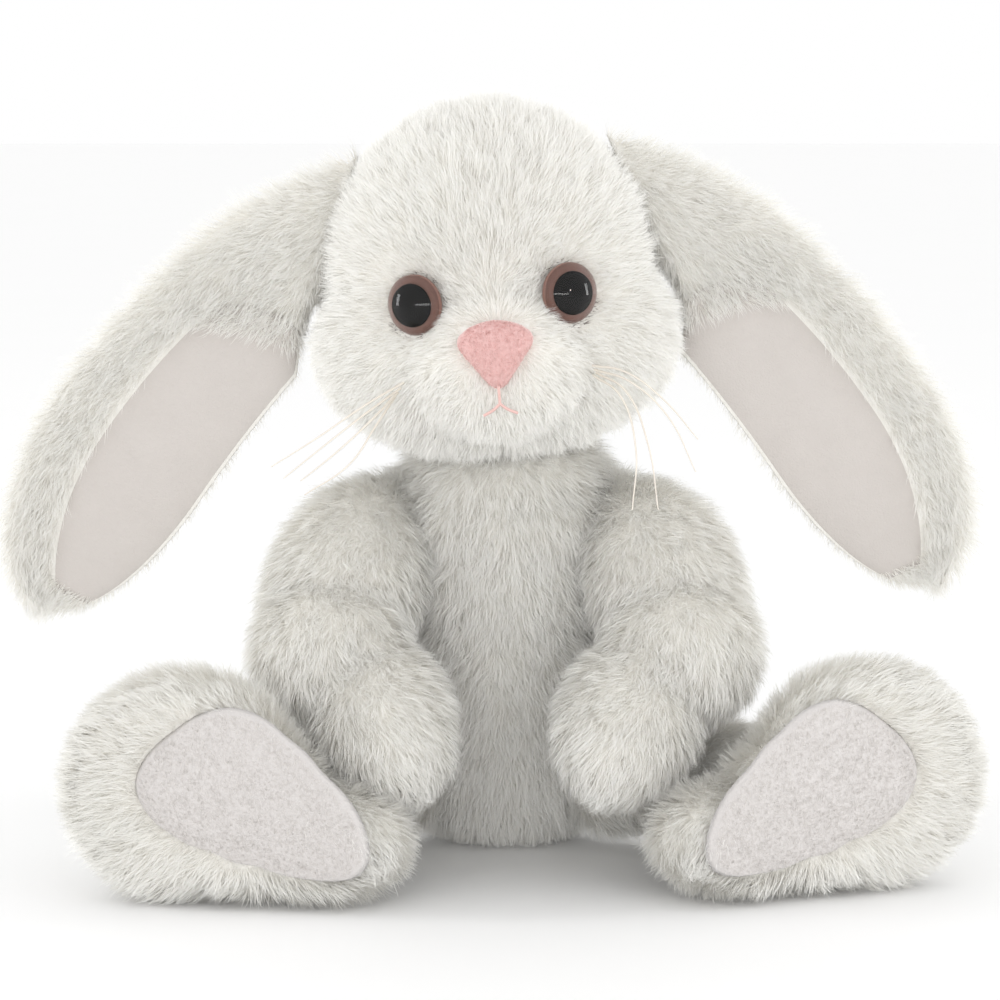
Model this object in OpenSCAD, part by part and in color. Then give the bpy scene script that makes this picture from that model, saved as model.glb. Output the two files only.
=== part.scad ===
// Seated plush rabbit with lop ears: sewn covers, stuffing, moulded eyes,
// and a ball of stuffing at each seam that a limb or the head turns on.
// Front is -Y, the rabbit's own left is +X, and it sits on the plane z = 0.

/* [Torso] */
// Width of the belly
torso_w = 49; // [46:1:51]
// Depth of the belly, front to back
torso_d = 42; // [40:1:44]
// Height of the neck's turning point above the seat
neck_z = 76; // [75:0.5:77]
// Diameter of the ball of stuffing in the neck
neck_ball_d = 26; // [24:1:26]
// Diameter of the tail
tail_d = 18; // [15:1:18]

/* [Head] */
// Width of the head over the cheeks
head_w = 68; // [64:1:70]
// Height of the skull
head_h = 66; // [63:1:68]
// Depth of the skull, front to back
head_d = 58; // [55:1:61]
// Lean of the head towards its right shoulder, in degrees
head_lean = 4.5; // [0:0.5:6]
// Width of the centre strip over the crown
gusset_w = 20; // [16:1:24]

/* [Face] */
// Distance between the centres of the eyes
eye_spacing = 28.4; // [27.4:0.2:30]
// Diameter of each eye
eye_d = 11; // [10:0.2:11.4]
// Diameter of the black pupil
pupil_d = 8.2; // [7:0.2:8.6]
// Width of the nose
nose_w = 13.6; // [12:0.2:15]
// Height of the nose
nose_h = 10.8; // [9:0.2:12]
// Diameter of a whisker
whisker_d = 0.5; // [0.4:0.1:0.8]

/* [Ears] */
// Length of an ear along its middle
ear_len = 88; // [80:1:94]
// Greatest width of an ear
ear_w = 33; // [30:1:36]
// Length of the seam that holds an ear
ear_root = 28; // [26:1:30]
// Width of the plush border outside the lining
ear_border = 8; // [5:0.5:10]

/* [Arms] */
// Diameter of the upper arm
arm_d = 28; // [26:1:29]
// Diameter of the paw
paw_d = 26.5; // [24:0.5:27]

/* [Legs] */
// Diameter of the leg
leg_d = 24; // [22:1:25]
// Width of the foot's broad end
foot_toe_w = 44; // [40:1:46]
// Height of the foot
foot_h = 43; // [40:1:44]

/* [Fabric] */
// Thickness of the plush cloth with its pile half pressed
plush_t = 3.5; // [2.5:0.1:4]
// Thickness of the smooth short-nap lining
lining_t = 1.6; // [1.2:0.1:2]
// Thickness of the sole's short plush
sole_t = 2.4; // [1.6:0.1:3]
// Space between two pieces that move against each other
gap = 0.4; // [0.3:0.05:0.6]

/* [Hidden] */
$fn = 72;
big = 300;
LEFT = 1;
RIGHT = -1;

// Torso: a belly and a chest ellipsoid, cut flat where it sits
belly_at = [0, 3, 27];
belly_r = [torso_w / 2, torso_d / 2, 33];
chest_at = [0, 1, 52];
chest_r = [21.5, 17.5, 25];
neck_at = [0, 0, neck_z];
neck_r = neck_ball_d / 2;
seat_t = plush_t;
pouch_top = 17;
tail_at = [0, 31, 12];
back_seam_half = 0.6;
stitch_pitch = 3;
stitch_count = 7;
stitch_low = 22;
stitch_r = 0.5;
seam_hole_r = 3.5;

// Head, in its own frame at the middle of the skull
head_up = 32.5;
head_fwd = 4;
skull_at = [0, 0, 1.5];
skull_r = [31, head_d / 2, head_h / 2];
cheek_at = [0, -4, -10];
cheek_r = [head_w / 2, 26, 19.5];
muzzle_at = [0, -25, -13];
muzzle_r = [17, 13, 14];
gusset_low = -5;
chin_top = -20;

// Eyes: a clear dome over a black pupil and a coloured disc with a stem
eye_at = [eye_spacing / 2, -24.6, -2.6];
eye_out = 30;
disc_t = 1.2;
pupil_t = 0.5;
lens_h = 3.4;
stem_r = 1.5;
stem_len = 9;
washer_r = 4.2;
washer_t = 1;

// Nose, mouth and whiskers
nose_at = [0, -38.2, -12.2];
nose_round = 1.8;
thread_w = 0.7;
thread_out = 0.5;
mouth_z = -21.2;
mouth_len = 3.2;
mouth_drop = 35;
whisker_at = [18.6, -24.2, -15];
whisker_bend = 26;
whisker_sweep = 55;
whisker_fan = [-20, -2, 16, 32];

// Ears: a flat arc that leaves the head outwards and ends hanging down
ear_t = 5;
ear_root_r = 4.2;
ear_root_mid = [30.6, 2, 8.75];
ear_root_tilt = 19;
ear_droop = 38;
ear_end = 66;
ear_round_from = 0.62;
ear_steps = 26;
lining_from = 0.16;
lining_to = 0.9;

// Arms: an upper arm and a forearm ellipsoid, and the ball in the shoulder
shoulder_at = [20.5, -2, 60.5];
shoulder_r = 10.5;
arm_at = [29.5, -15, 51];
arm_half = 22;
arm_to = [35, -24, 37];
paw_at = [23, -34, 30.5];
paw_half = 19;
paw_to = [15.5, -48, 18.5];
arm_inner_x = 25.4;
arm_front_y = -19.4;
// Directions and distances from the paw's middle at which it lies flat on the thigh and heel
paw_rests = [[[0.68, 0.37, -0.63], 9], [[0.4, -0.42, -0.815], 15]];

// Legs: a thigh, a toe end and a heel, and the ball in the hip
hip_at = [19, -5, 14.5];
hip_r = 11.5;
leg_at = [33, -20, 14.5];
leg_to = [47, -35, 16];
leg_half = 24;
leg_yaw = 43;
leg_clear = 5;
toe_at = [57, -46, 20.5];
toe_thick = 29;
instep_at = [46, -47.5, 15.5];
instep_r = [17, 13, 15.5];
heel_at = [34, -48, 10];
heel_r = [14, 12, 10];
sole_yaw = 12;
sole_depth = 9;
sole_inset = 2;
// How far the left leg already lies out from the pose of the right leg
left_leg_turn = 12;

white = [0.95, 0.94, 0.91];
cream = [0.90, 0.88, 0.84];
filling = [0.97, 0.97, 0.97];
rose = [0.90, 0.62, 0.60];
rose_brown = [0.55, 0.36, 0.30];

// ---- Shared shapes --------------------------------------------------------

module ellipsoid(at, r, turn = [0, 0, 0], less = 0) {
    translate(at) rotate(turn) scale(r - [less, less, less]) sphere(1);
}

// Turns that lay the z axis along a direction
function aim(d) = [0, acos(d.z / norm(d)), atan2(d.y, d.x)];

// Ellipsoid with its long axis from its middle towards a point
module long_ellipsoid(at, towards, radius, half, less = 0) {
    ellipsoid(at, [radius, radius, half], aim(towards - at), less);
}

// The half of space on the positive side of a plane through a point
module beyond(at, turn) {
    translate(at) rotate(turn) translate([-big / 2, -big / 2, 0]) cube(big);
}

module above_seat(z = 0) beyond([0, 0, z], [0, 0, 0]);

// Open end of a sewn cover, from its middle out through the wall at its seam
module seam_hole(at, turn, less = 0) {
    translate(at) rotate(turn) cylinder(r = seam_hole_r - less, h = big / 4);
}

module on_side(side) {
    if (side == LEFT) children();
    else mirror([1, 0, 0]) children();
}

module turned_about(at, turn) {
    translate(at) rotate(turn) translate(-at) children();
}

// ---- Torso ----------------------------------------------------------------

module torso_form(less = 0) {
    ellipsoid(belly_at, belly_r, less = less);
    ellipsoid(chest_at, chest_r, less = less);
}

module joint_sockets() {
    translate(neck_at) sphere(neck_r + gap);
    for (side = [LEFT, RIGHT]) on_side(side) {
        translate(shoulder_at) sphere(shoulder_r + gap);
        translate(hip_at) sphere(hip_r + gap);
    }
}

module torso_cover() {
    difference() {
        intersection() {
            torso_form();
            above_seat();
        }
        intersection() {
            torso_form(plush_t);
            above_seat(seat_t);
        }
        joint_sockets();
    }
}

module belly_panel(side) {
    color(white) difference() {
        intersection() {
            torso_cover();
            beyond([0, belly_at.y, 0], [90, 0, 0]);
            above_seat(seat_t);
        }
        on_side(side) beyond([0, 0, 0], [0, -90, 0]);
    }
}

module back_panel(side) {
    color(white) difference() {
        intersection() {
            torso_cover();
            beyond([0, belly_at.y, 0], [-90, 0, 0]);
            above_seat(seat_t);
        }
        on_side(side) beyond([back_seam_half / 2, 0, 0], [0, -90, 0]);
    }
}

module seat_panel() {
    color(white) difference() {
        torso_cover();
        above_seat(seat_t);
    }
}

module torso_stuffing() {
    color(filling) difference() {
        intersection() {
            torso_form(plush_t);
            above_seat(pouch_top);
        }
        joint_sockets();
    }
}

module pellet_pouch() {
    color("tan") difference() {
        intersection() {
            torso_form(plush_t);
            above_seat(seat_t);
        }
        above_seat(pouch_top);
        joint_sockets();
    }
}

// Ladder stitches that close the centre back seam after filling
module back_closing_stitches() {
    color("ivory") intersection() {
        difference() {
            torso_form();
            torso_form(plush_t);
        }
        for (i = [0 : stitch_count - 1])
            translate([0, 0, stitch_low + i * stitch_pitch]) rotate([-90, 0, 0])
                cylinder(r = stitch_r, h = big / 2);
        cube([back_seam_half, big, big], center = true);
    }
}

// Ball with its poles on the line through the seam
module tail_form(less = 0) {
    translate(tail_at) rotate([90, 0, 0]) sphere(tail_d / 2 - less);
}

module tail_stuffing() {
    color(filling) {
        tail_form(plush_t + gap / 4);
        intersection() {
            tail_form(gap / 4);
            seam_hole(tail_at, [90, 0, 0], gap / 4);
        }
    }
}

module tail_cover() {
    color(white) difference() {
        tail_form();
        tail_form(plush_t);
        seam_hole(tail_at, [90, 0, 0]);
    }
}

// ---- Neck -----------------------------------------------------------------

module neck_stuffing() {
    color(filling) translate(neck_at) sphere(neck_r);
}

// Gathering thread drawn tight round the neck
module neck_thread() {
    color("ivory") translate(neck_at) difference() {
        rotate_extrude() translate([neck_r, 0]) circle(thread_w);
        sphere(neck_r);
    }
}

// ---- Head -----------------------------------------------------------------

// Stands the head's own frame on the neck and leans it
module in_head() {
    translate(neck_at) rotate([0, -head_lean, 0])
        translate([0, -head_fwd, head_up]) children();
}

module head_form(less = 0) {
    ellipsoid(skull_at, skull_r, less = less);
    ellipsoid(cheek_at, cheek_r, less = less);
    ellipsoid(muzzle_at, muzzle_r, less = less);
}

module neck_socket() {
    translate([0, head_fwd, -head_up]) sphere(neck_r + gap);
}

module eye_place(side) {
    on_side(side) translate(eye_at) rotate([90, 0, eye_out]) children();
}

module eye_seat(side) {
    eye_place(side) {
        translate([0, 0, -disc_t]) cylinder(d = eye_d + gap, h = big / 20);
        translate([0, 0, -stem_len - disc_t]) cylinder(r = stem_r + gap / 4, h = stem_len + disc_t);
        translate([0, 0, -disc_t - plush_t - 2 * washer_t])
            cylinder(r = washer_r + gap, h = 2 * washer_t);
    }
}

module ear_root_place(side) {
    on_side(side) translate(ear_root_mid) rotate([0, -ear_root_tilt, 0]) children();
}

module ear_groove(side) {
    ear_root_place(side)
        cylinder(r = ear_root_r + gap, h = ear_root + 2 * gap, center = true);
}

module head_cuts() {
    neck_socket();
    for (side = [LEFT, RIGHT]) {
        eye_seat(side);
        ear_groove(side);
    }
}

module head_cover() {
    difference() {
        head_form();
        head_form(plush_t);
        head_cuts();
    }
}

module in_gusset() {
    intersection() {
        cube([gusset_w, big, big], center = true);
        above_seat(gusset_low);
    }
}

module head_gusset() {
    color(white) in_head() intersection() {
        head_cover();
        in_gusset();
    }
}

module head_panel(side) {
    color(white) in_head() difference() {
        intersection() {
            head_cover();
            above_seat(chin_top);
        }
        in_gusset();
        on_side(side) beyond([0, 0, 0], [0, -90, 0]);
    }
}

module chin_panel() {
    color(white) in_head() difference() {
        head_cover();
        above_seat(chin_top);
    }
}

module head_stuffing() {
    color(filling) in_head() difference() {
        head_form(plush_t);
        head_cuts();
    }
}

// ---- Eyes -----------------------------------------------------------------

// Clear domed front, hollowed to take the pupil
module eye_lens(side) {
    ball_r = (pow(eye_d / 2, 2) + pow(lens_h, 2)) / (2 * lens_h);
    color([0.8, 0.8, 0.85, 0.4]) in_head() eye_place(side) difference() {
        translate([0, 0, lens_h - ball_r]) sphere(ball_r);
        translate([0, 0, -big / 2]) cube(big, center = true);
        cylinder(d = pupil_d, h = 2 * pupil_t, center = true);
    }
}

module eye_pupil(side) {
    color("black") in_head() eye_place(side) cylinder(d = pupil_d, h = pupil_t);
}

// Coloured disc with the ridged stem that goes through the cloth
module eye_disc(side) {
    color(rose_brown) in_head() eye_place(side) {
        translate([0, 0, -disc_t]) cylinder(d = eye_d, h = disc_t);
        translate([0, 0, -disc_t - stem_len]) cylinder(r = stem_r, h = stem_len);
    }
}

// Washer pressed on the stem behind the cloth
module eye_washer(side) {
    color("white") in_head() eye_place(side)
        translate([0, 0, -disc_t - plush_t - 1.5 * washer_t]) difference() {
            cylinder(r = washer_r, h = washer_t);
            translate([0, 0, -washer_t]) cylinder(r = stem_r, h = 3 * washer_t);
        }
}

// ---- Nose, mouth and whiskers ---------------------------------------------

module nose_pad() {
    half_w = nose_w / 2 - nose_round;
    half_h = nose_h / 2 - nose_round;
    color(rose) in_head() intersection() {
        translate(nose_at) hull() {
            for (x = [-half_w, half_w]) translate([x, 0, half_h]) sphere(nose_round, $fn = 24);
            translate([0, 0, -half_h]) sphere(nose_round, $fn = 24);
        }
        beyond([0, muzzle_at.y - muzzle_r.y, 0], [90, 0, 0]);
    }
}

// A straight stitch drawn down and sideways from a point on the muzzle
module stitch(z, turn, length) {
    translate([0, 0, z]) rotate([0, turn, 0])
        translate([-thread_w / 2, -big / 2, -length])
            cube([thread_w, big / 2 + muzzle_at.y, length]);
}

module mouth_stitches() {
    color(rose) in_head() intersection() {
        difference() {
            ellipsoid(muzzle_at, muzzle_r, less = -thread_out);
            ellipsoid(muzzle_at, muzzle_r);
        }
        union() {
            stitch(mouth_z + mouth_len, 0, mouth_len);
            stitch(mouth_z, 90 - mouth_drop, mouth_len);
            stitch(mouth_z, mouth_drop - 90, mouth_len);
        }
    }
}

// Four bristles in a fan, each an arc that leaves the cheek outwards
module whiskers(side) {
    color("ivory") in_head() on_side(side) difference() {
        for (fan = whisker_fan)
            translate(whisker_at) rotate([0, fan, -40]) rotate([90, 0, 0])
                translate([0, -whisker_bend, 0]) rotate([0, 0, 90 - whisker_sweep])
                    rotate_extrude(angle = whisker_sweep) translate([whisker_bend, 0])
                        circle(d = whisker_d, $fn = 16);
        head_form();
    }
}

// ---- Ears -----------------------------------------------------------------

// Heading of the ear's middle line below the horizontal, at a share t of its length
function ear_heading(side, t) =
    ear_droop + side * head_lean + t * (ear_end - ear_droop);

function ear_mid(side, t) =
    let (start = ear_heading(side, 0), now = ear_heading(side, t),
        bend_r = ear_len / ((ear_end - ear_droop) * PI / 180))
    bend_r * [sin(now) - sin(start), cos(now) - cos(start)];

// Direction across the ear, which starts along the seam and turns square to the middle line
function ear_across(side, t) =
    let (share = min(1, t / 0.25), start = -ear_root_tilt,
        lean = start + share * (ear_heading(side, t) - start))
    [sin(lean), cos(lean)];

function ear_half(t) =
    let (swell = sin(90 * min(1, t / ear_round_from)),
        past = max(0, (t - ear_round_from) / (1 - ear_round_from)))
    (ear_root + (ear_w - ear_root) * swell) / 2 * sqrt(max(0, 1 - past * past));

function ear_edge(side, t, edge, inset) =
    ear_mid(side, t) + edge * max(0, ear_half(t) - inset) * ear_across(side, t);

// Outline between two shares of the length, with its own inset on each edge
function ear_outline(side, from, to, outer_inset, inner_inset) =
    let (step = (to - from) / ear_steps) concat(
        [for (i = [0 : ear_steps]) ear_edge(side, from + i * step, 1, outer_inset)],
        [for (i = [ear_steps - 1 : -1 : 0]) ear_edge(side, from + i * step, -1, inner_inset)]);

module ear_plate(outline, y, thickness) {
    translate([0, y + thickness, 0]) rotate([90, 0, 0])
        linear_extrude(thickness) polygon(outline);
}

// Plush back of the ear, with the rolled edge that is sewn into the head
module ear_back(side) {
    color(white) in_head() {
        ear_root_place(side) cylinder(r = ear_root_r, h = ear_root, center = true);
        on_side(side) translate(ear_root_mid)
            ear_plate(ear_outline(side, 0, 1, 0, 0), -ear_t / 2, ear_t);
    }
}

module ear_lining(side) {
    color(cream) in_head() difference() {
        on_side(side) translate(ear_root_mid)
            ear_plate(ear_outline(side, lining_from, lining_to, ear_border, 1),
                -ear_t / 2 - lining_t, lining_t);
        ear_root_place(side) cylinder(r = ear_root_r, h = ear_root, center = true);
    }
}

// ---- Arms -----------------------------------------------------------------

// Space that the torso keeps from the arm, however high the arm is raised
module beside_torso(more = 0) {
    translate([arm_inner_x + more - big, arm_front_y - more, -big / 2]) cube(big);
}

module arm_form(side, less = 0) {
    on_side(side) {
        difference() {
            union() {
                long_ellipsoid(arm_at, arm_to, arm_d / 2, arm_half, less);
                long_ellipsoid(paw_at, paw_to, paw_d / 2, paw_half, less);
            }
            beside_torso(less / 3);
            for (rest = paw_rests)
                beyond(paw_at + (rest[1] - less) * rest[0], aim(rest[0]));
        }
        translate(shoulder_at) sphere(shoulder_r - less);
    }
}

module arm_cover(side) {
    color(white) difference() {
        arm_form(side);
        arm_form(side, plush_t);
        on_side(side) seam_hole(shoulder_at, [0, -90, 0]);
    }
}

module arm_stuffing(side) {
    color(filling) {
        arm_form(side, plush_t);
        on_side(side) intersection() {
            translate(shoulder_at) sphere(shoulder_r);
            seam_hole(shoulder_at, [0, -90, 0]);
        }
    }
}

// ---- Legs -----------------------------------------------------------------

module limb_ellipsoids(less = 0) {
    long_ellipsoid(leg_at, leg_to, leg_d / 2, leg_half, less);
    ellipsoid(toe_at, [foot_toe_w / 2, toe_thick / 2, foot_h / 2], less = less);
    ellipsoid(instep_at, instep_r, less = less);
    ellipsoid(heel_at, heel_r, less = less);
}

// Space in front of a plane parallel to the sole, at a depth behind the sole's face
module before_sole(depth) {
    translate(toe_at) rotate([90, 0, sole_yaw]) translate([-big / 2, -big / 2, sole_depth - depth])
        cube(big);
}

module leg_place(side) {
    turn = side == LEFT ? left_leg_turn : 0;
    on_side(side) turned_about(hip_at, [0, 0, turn]) children();
}

module leg_form(less = 0) {
    intersection() {
        union() {
            intersection() {
                limb_ellipsoids(less);
                beyond(hip_at + leg_clear * [sin(leg_yaw), -cos(leg_yaw), 0], [90, 0, leg_yaw]);
            }
            translate(hip_at) sphere(hip_r - less);
        }
        above_seat(less);
    }
}

module sole_pad(side) {
    color(cream) leg_place(side) difference() {
        intersection() {
            leg_form(sole_inset);
            before_sole(sole_t);
        }
        before_sole(0);
    }
}

module leg_cover(side) {
    color(white) leg_place(side) difference() {
        leg_form();
        before_sole(0);
        difference() {
            leg_form(plush_t);
            before_sole(sole_t);
        }
        intersection() {
            leg_form(sole_inset);
            before_sole(sole_t);
        }
    }
}

module leg_stuffing(side) {
    color(filling) leg_place(side) difference() {
        leg_form(plush_t);
        before_sole(sole_t);
    }
}

belly_panel(LEFT);  // belly_panel_left
belly_panel(RIGHT);  // belly_panel_right
back_panel(LEFT);  // back_panel_left
back_panel(RIGHT);  // back_panel_right
seat_panel();
torso_stuffing();
pellet_pouch();
back_closing_stitches();
tail_cover();
tail_stuffing();
neck_stuffing();
neck_thread();
head_gusset();
head_panel(LEFT);  // head_panel_left
head_panel(RIGHT);  // head_panel_right
chin_panel();
head_stuffing();
eye_lens(LEFT);  // eye_lens_left
eye_lens(RIGHT);  // eye_lens_right
eye_pupil(LEFT);  // eye_pupil_left
eye_pupil(RIGHT);  // eye_pupil_right
eye_disc(LEFT);  // eye_disc_left
eye_disc(RIGHT);  // eye_disc_right
eye_washer(LEFT);  // eye_washer_left
eye_washer(RIGHT);  // eye_washer_right
nose_pad();
mouth_stitches();
whiskers(LEFT);  // whiskers_left
whiskers(RIGHT);  // whiskers_right
ear_back(LEFT);  // ear_back_left
ear_back(RIGHT);  // ear_back_right
ear_lining(LEFT);  // ear_lining_left
ear_lining(RIGHT);  // ear_lining_right
arm_cover(LEFT);  // arm_cover_left
arm_cover(RIGHT);  // arm_cover_right
arm_stuffing(LEFT);  // arm_stuffing_left
arm_stuffing(RIGHT);  // arm_stuffing_right
leg_cover(LEFT);  // leg_cover_left
leg_cover(RIGHT);  // leg_cover_right
sole_pad(LEFT);  // sole_pad_left
sole_pad(RIGHT);  // sole_pad_right
leg_stuffing(LEFT);  // leg_stuffing_left
leg_stuffing(RIGHT);  // leg_stuffing_right
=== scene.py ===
import math

import bmesh
import bpy
import numpy as np
from mathutils import Matrix, Vector
from mathutils.kdtree import KDTree


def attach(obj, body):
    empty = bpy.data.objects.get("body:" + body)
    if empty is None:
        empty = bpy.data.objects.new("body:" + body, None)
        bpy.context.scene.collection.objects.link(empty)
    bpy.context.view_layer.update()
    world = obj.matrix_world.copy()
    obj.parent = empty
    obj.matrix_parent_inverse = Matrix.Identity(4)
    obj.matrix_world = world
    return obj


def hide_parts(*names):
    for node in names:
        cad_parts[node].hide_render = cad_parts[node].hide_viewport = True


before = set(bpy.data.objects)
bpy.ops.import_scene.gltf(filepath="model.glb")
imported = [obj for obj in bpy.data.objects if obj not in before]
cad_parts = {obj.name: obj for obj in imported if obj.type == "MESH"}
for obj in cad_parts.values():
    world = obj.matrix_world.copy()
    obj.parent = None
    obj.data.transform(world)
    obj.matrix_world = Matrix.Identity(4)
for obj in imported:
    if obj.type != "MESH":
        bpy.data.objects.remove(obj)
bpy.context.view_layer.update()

# ---- Studio -----------------------------------------------------------------
# The toy sits on a plain pale table top in an evenly lit white studio, with a
# large soft lamp on each side, a long low one in front and two small ones near
# the camera. The camera looks slightly down.
MM = 0.001
scene = bpy.context.scene
scene.view_settings.view_transform = "Standard"
aim = Vector((-0.95, 0, 65.3)) * MM
look_down = math.radians(8)
camera_data = bpy.data.cameras.new("camera")
camera_data.lens = 120
camera_data.sensor_width = 36
camera = bpy.data.objects.new("camera", camera_data)
scene.collection.objects.link(camera)
camera.location = aim + 633.3 * MM * Vector((0, -math.cos(look_down), math.sin(look_down)))
camera.rotation_euler = (math.pi / 2 - look_down, 0, 0)
scene.camera = camera

world = bpy.data.worlds.new("white_studio")
world.use_nodes = True
world.node_tree.nodes["Background"].inputs["Color"].default_value = (1, 1, 1, 1)
world.node_tree.nodes["Background"].inputs["Strength"].default_value = 1.0
scene.world = world
for name, place, size, watts in (
    ("window_left", (-0.8, -0.02, 0.2), (0.16, 0.36), 1.3),
    ("window_right", (0.8, -0.02, 0.2), (0.16, 0.36), 1.2),
    ("spot_left", (-0.4, -0.7, 0.24), (0.03, 0.03), 0.16),
    ("spot_right", (0.4, -0.7, 0.24), (0.03, 0.03), 0.16),
    ("lamp_front", (0.0, -0.95, 0.1), (0.9, 0.1), 1.5),
):
    lamp_data = bpy.data.lights.new(name, "AREA")
    lamp_data.shape = "RECTANGLE"
    lamp_data.size, lamp_data.size_y = size
    lamp_data.energy = watts
    lamp = bpy.data.objects.new(name, lamp_data)
    scene.collection.objects.link(lamp)
    lamp.location = place
    lamp.rotation_euler = (Vector(place) - aim).to_track_quat("Z", "Y").to_euler()


class Value:
    """One output socket, so that shader maths reads as arithmetic."""

    def __init__(self, finish, socket):
        self.finish, self.socket = finish, socket

    def maths(self, operation, *operands):
        return self.finish.node("ShaderNodeMath", {"operation": operation}, dict(enumerate(operands)))

    def __add__(self, other):
        return self.maths("ADD", self, other)

    def __radd__(self, other):
        return self.maths("ADD", other, self)

    def __sub__(self, other):
        return self.maths("SUBTRACT", self, other)

    def __rsub__(self, other):
        return self.maths("SUBTRACT", other, self)

    def __mul__(self, other):
        return self.maths("MULTIPLY", self, other)

    def __rmul__(self, other):
        return self.maths("MULTIPLY", other, self)


class Finish:
    """A procedural material. Fixed numbers go straight on the shader's sockets."""

    def __init__(self, name, **fixed):
        self.material = bpy.data.materials.new(name)
        self.material.use_nodes = True
        self.tree = self.material.node_tree
        self.shader = self.tree.nodes["Principled BSDF"]
        for socket, value in fixed.items():
            self.put(self.shader.inputs[socket.replace("_", " ")], value)

    def put(self, socket, value):
        if isinstance(value, Value):
            self.tree.links.new(value.socket, socket)
        elif hasattr(value, "__len__") and len(value) == 3 and socket.type == "RGBA":
            socket.default_value = (*value, 1)
        else:
            socket.default_value = value

    def node(self, kind, settings=None, values=None, output=0):
        made = self.tree.nodes.new(kind)
        for setting, value in (settings or {}).items():
            setattr(made, setting, value)
        for socket, value in (values or {}).items():
            self.put(made.inputs[socket], value)
        return Value(self, made.outputs[output])

    def mix(self, share, first, second):
        return self.node("ShaderNodeMix", {"data_type": "RGBA"}, {0: share, 6: first, 7: second}, 2)

    def noise(self, size_mm, detail=3):
        """Cloudy values from 0 to 1 that vary over about size_mm."""
        place = self.node("ShaderNodeTexCoord", output=3)
        sockets = {"Vector": place, "Scale": 1 / (size_mm * MM), "Detail": detail}
        return self.node("ShaderNodeTexNoise", {}, sockets)

    def bump(self, height, depth_mm, strength=1):
        sockets = {"Height": height, "Distance": depth_mm * MM, "Strength": strength}
        return self.node("ShaderNodeBump", {}, sockets)

    def set(self, socket, value):
        self.put(self.shader.inputs[socket], value)


table_finish = Finish("pale_table", Roughness=0.7)
table_cloud = table_finish.noise(60)
table_finish.set("Base Color", table_finish.mix(table_cloud, (0.965, 0.965, 0.963), (0.975, 0.975, 0.975)))
bpy.ops.mesh.primitive_plane_add(size=8, location=(0, 0, 0))
table = bpy.context.object
table.name = "table_top"
table.data.materials.append(table_finish.material)

# ---- Torso ------------------------------------------------------------------
# The body is a bag of long-pile white plush: two belly panels, two back panels
# and a seat panel, sewn inside out, turned, filled with fibre over a pouch of
# pellets, and closed by hand at the centre back. Its pile is combed down.
SKIN_IN = 2.0  # the woven backing lies this far inside the half-pressed pile


def unit(vectors):
    return vectors / np.maximum(np.linalg.norm(vectors, axis=-1, keepdims=True), 1e-9)


def lump(at, radii, towards=None, place=None, less=SKIN_IN):
    """Takes the unit ball to one bulge of stuffing. towards points its third radius."""
    turn = Matrix.Identity(4)
    if towards is not None:
        turn = (Vector(towards) - Vector(at)).to_track_quat("Z", "Y").to_matrix().to_4x4()
    whole = Matrix.Translation(at) @ turn @ Matrix.Diagonal((*(r - less for r in radii), 1))
    return whole if place is None else place @ whole


def spread(matrix, points):
    """Moves an array of points by a matrix."""
    matrix = np.array(matrix)
    return points @ matrix[:3, :3].T + matrix[:3, 3]


def within(lumps, points, grow=1.0):
    """Which points lie inside any of the bulges."""
    found = np.zeros(len(points), bool)
    for bulge in lumps:
        found |= np.linalg.norm(spread(bulge.inverted(), points), axis=1) < grow
    return found


def mesh_piece(name, points_mm, faces, finish):
    mesh = bpy.data.meshes.new(name)
    mesh.from_pydata([tuple(p) for p in np.asarray(points_mm, float) * MM], [], faces)
    mesh.shade_smooth()
    piece = bpy.data.objects.new(name, mesh)
    scene.collection.objects.link(piece)
    mesh.materials.append(finish.material)
    return piece


def corners_mm(mesh):
    found = np.zeros(len(mesh.vertices) * 3)
    mesh.vertices.foreach_get("co", found)
    return found.reshape(-1, 3) / MM


def move_corners(mesh, points_mm):
    mesh.vertices.foreach_set("co", (points_mm * MM).ravel())
    mesh.update()


def stuffed(name, lumps, finish, shape=None, weave=1.6, ease=8):
    """One closed cover over bulges that run into each other, as filled cloth does."""
    shell = bmesh.new()
    for bulge in lumps:
        if bulge.determinant() < 0:
            bulge = bulge @ Matrix.Diagonal((-1, 1, 1, 1))
        ball = bmesh.ops.create_icosphere(shell, subdivisions=4, radius=1)
        bmesh.ops.transform(shell, matrix=Matrix.Scale(MM, 4) @ bulge, verts=ball["verts"])
    mesh = bpy.data.meshes.new(name)
    shell.to_mesh(mesh)
    shell.free()
    piece = bpy.data.objects.new(name, mesh)
    scene.collection.objects.link(piece)
    remesh = piece.modifiers.new("remesh", "REMESH")
    remesh.mode = "VOXEL"
    remesh.voxel_size = weave * MM
    smooth = piece.modifiers.new("smooth", "SMOOTH")
    smooth.factor, smooth.iterations = 0.5, ease
    final = bpy.data.meshes.new_from_object(piece.evaluated_get(bpy.context.evaluated_depsgraph_get()))
    piece.modifiers.clear()
    piece.data = final
    final.name = name
    if shape is not None:
        move_corners(final, shape(corners_mm(final)))
    final.shade_smooth()
    final.materials.clear()
    final.materials.append(finish.material)
    return piece


def surface_of(piece):
    """Points, normals and triangles of a piece, in millimetres."""
    mesh = piece.data
    mesh.calc_loop_triangles()
    triangles = np.zeros(len(mesh.loop_triangles) * 3, np.int64)
    mesh.loop_triangles.foreach_get("vertices", triangles)
    normals = np.zeros(len(mesh.vertices) * 3)
    mesh.vertex_normals.foreach_get("vector", normals)
    return corners_mm(mesh), normals.reshape(-1, 3), triangles.reshape(-1, 3)


def pile_colour(name, colour, roughness=0.6, sheen=0.15):
    return Finish(
        name, Base_Color=colour, Roughness=roughness, Sheen_Weight=sheen, Sheen_Roughness=0.45,
        Sheen_Tint=(1, 1, 1, 1), Specular_IOR_Level=0.25,
    )


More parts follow.
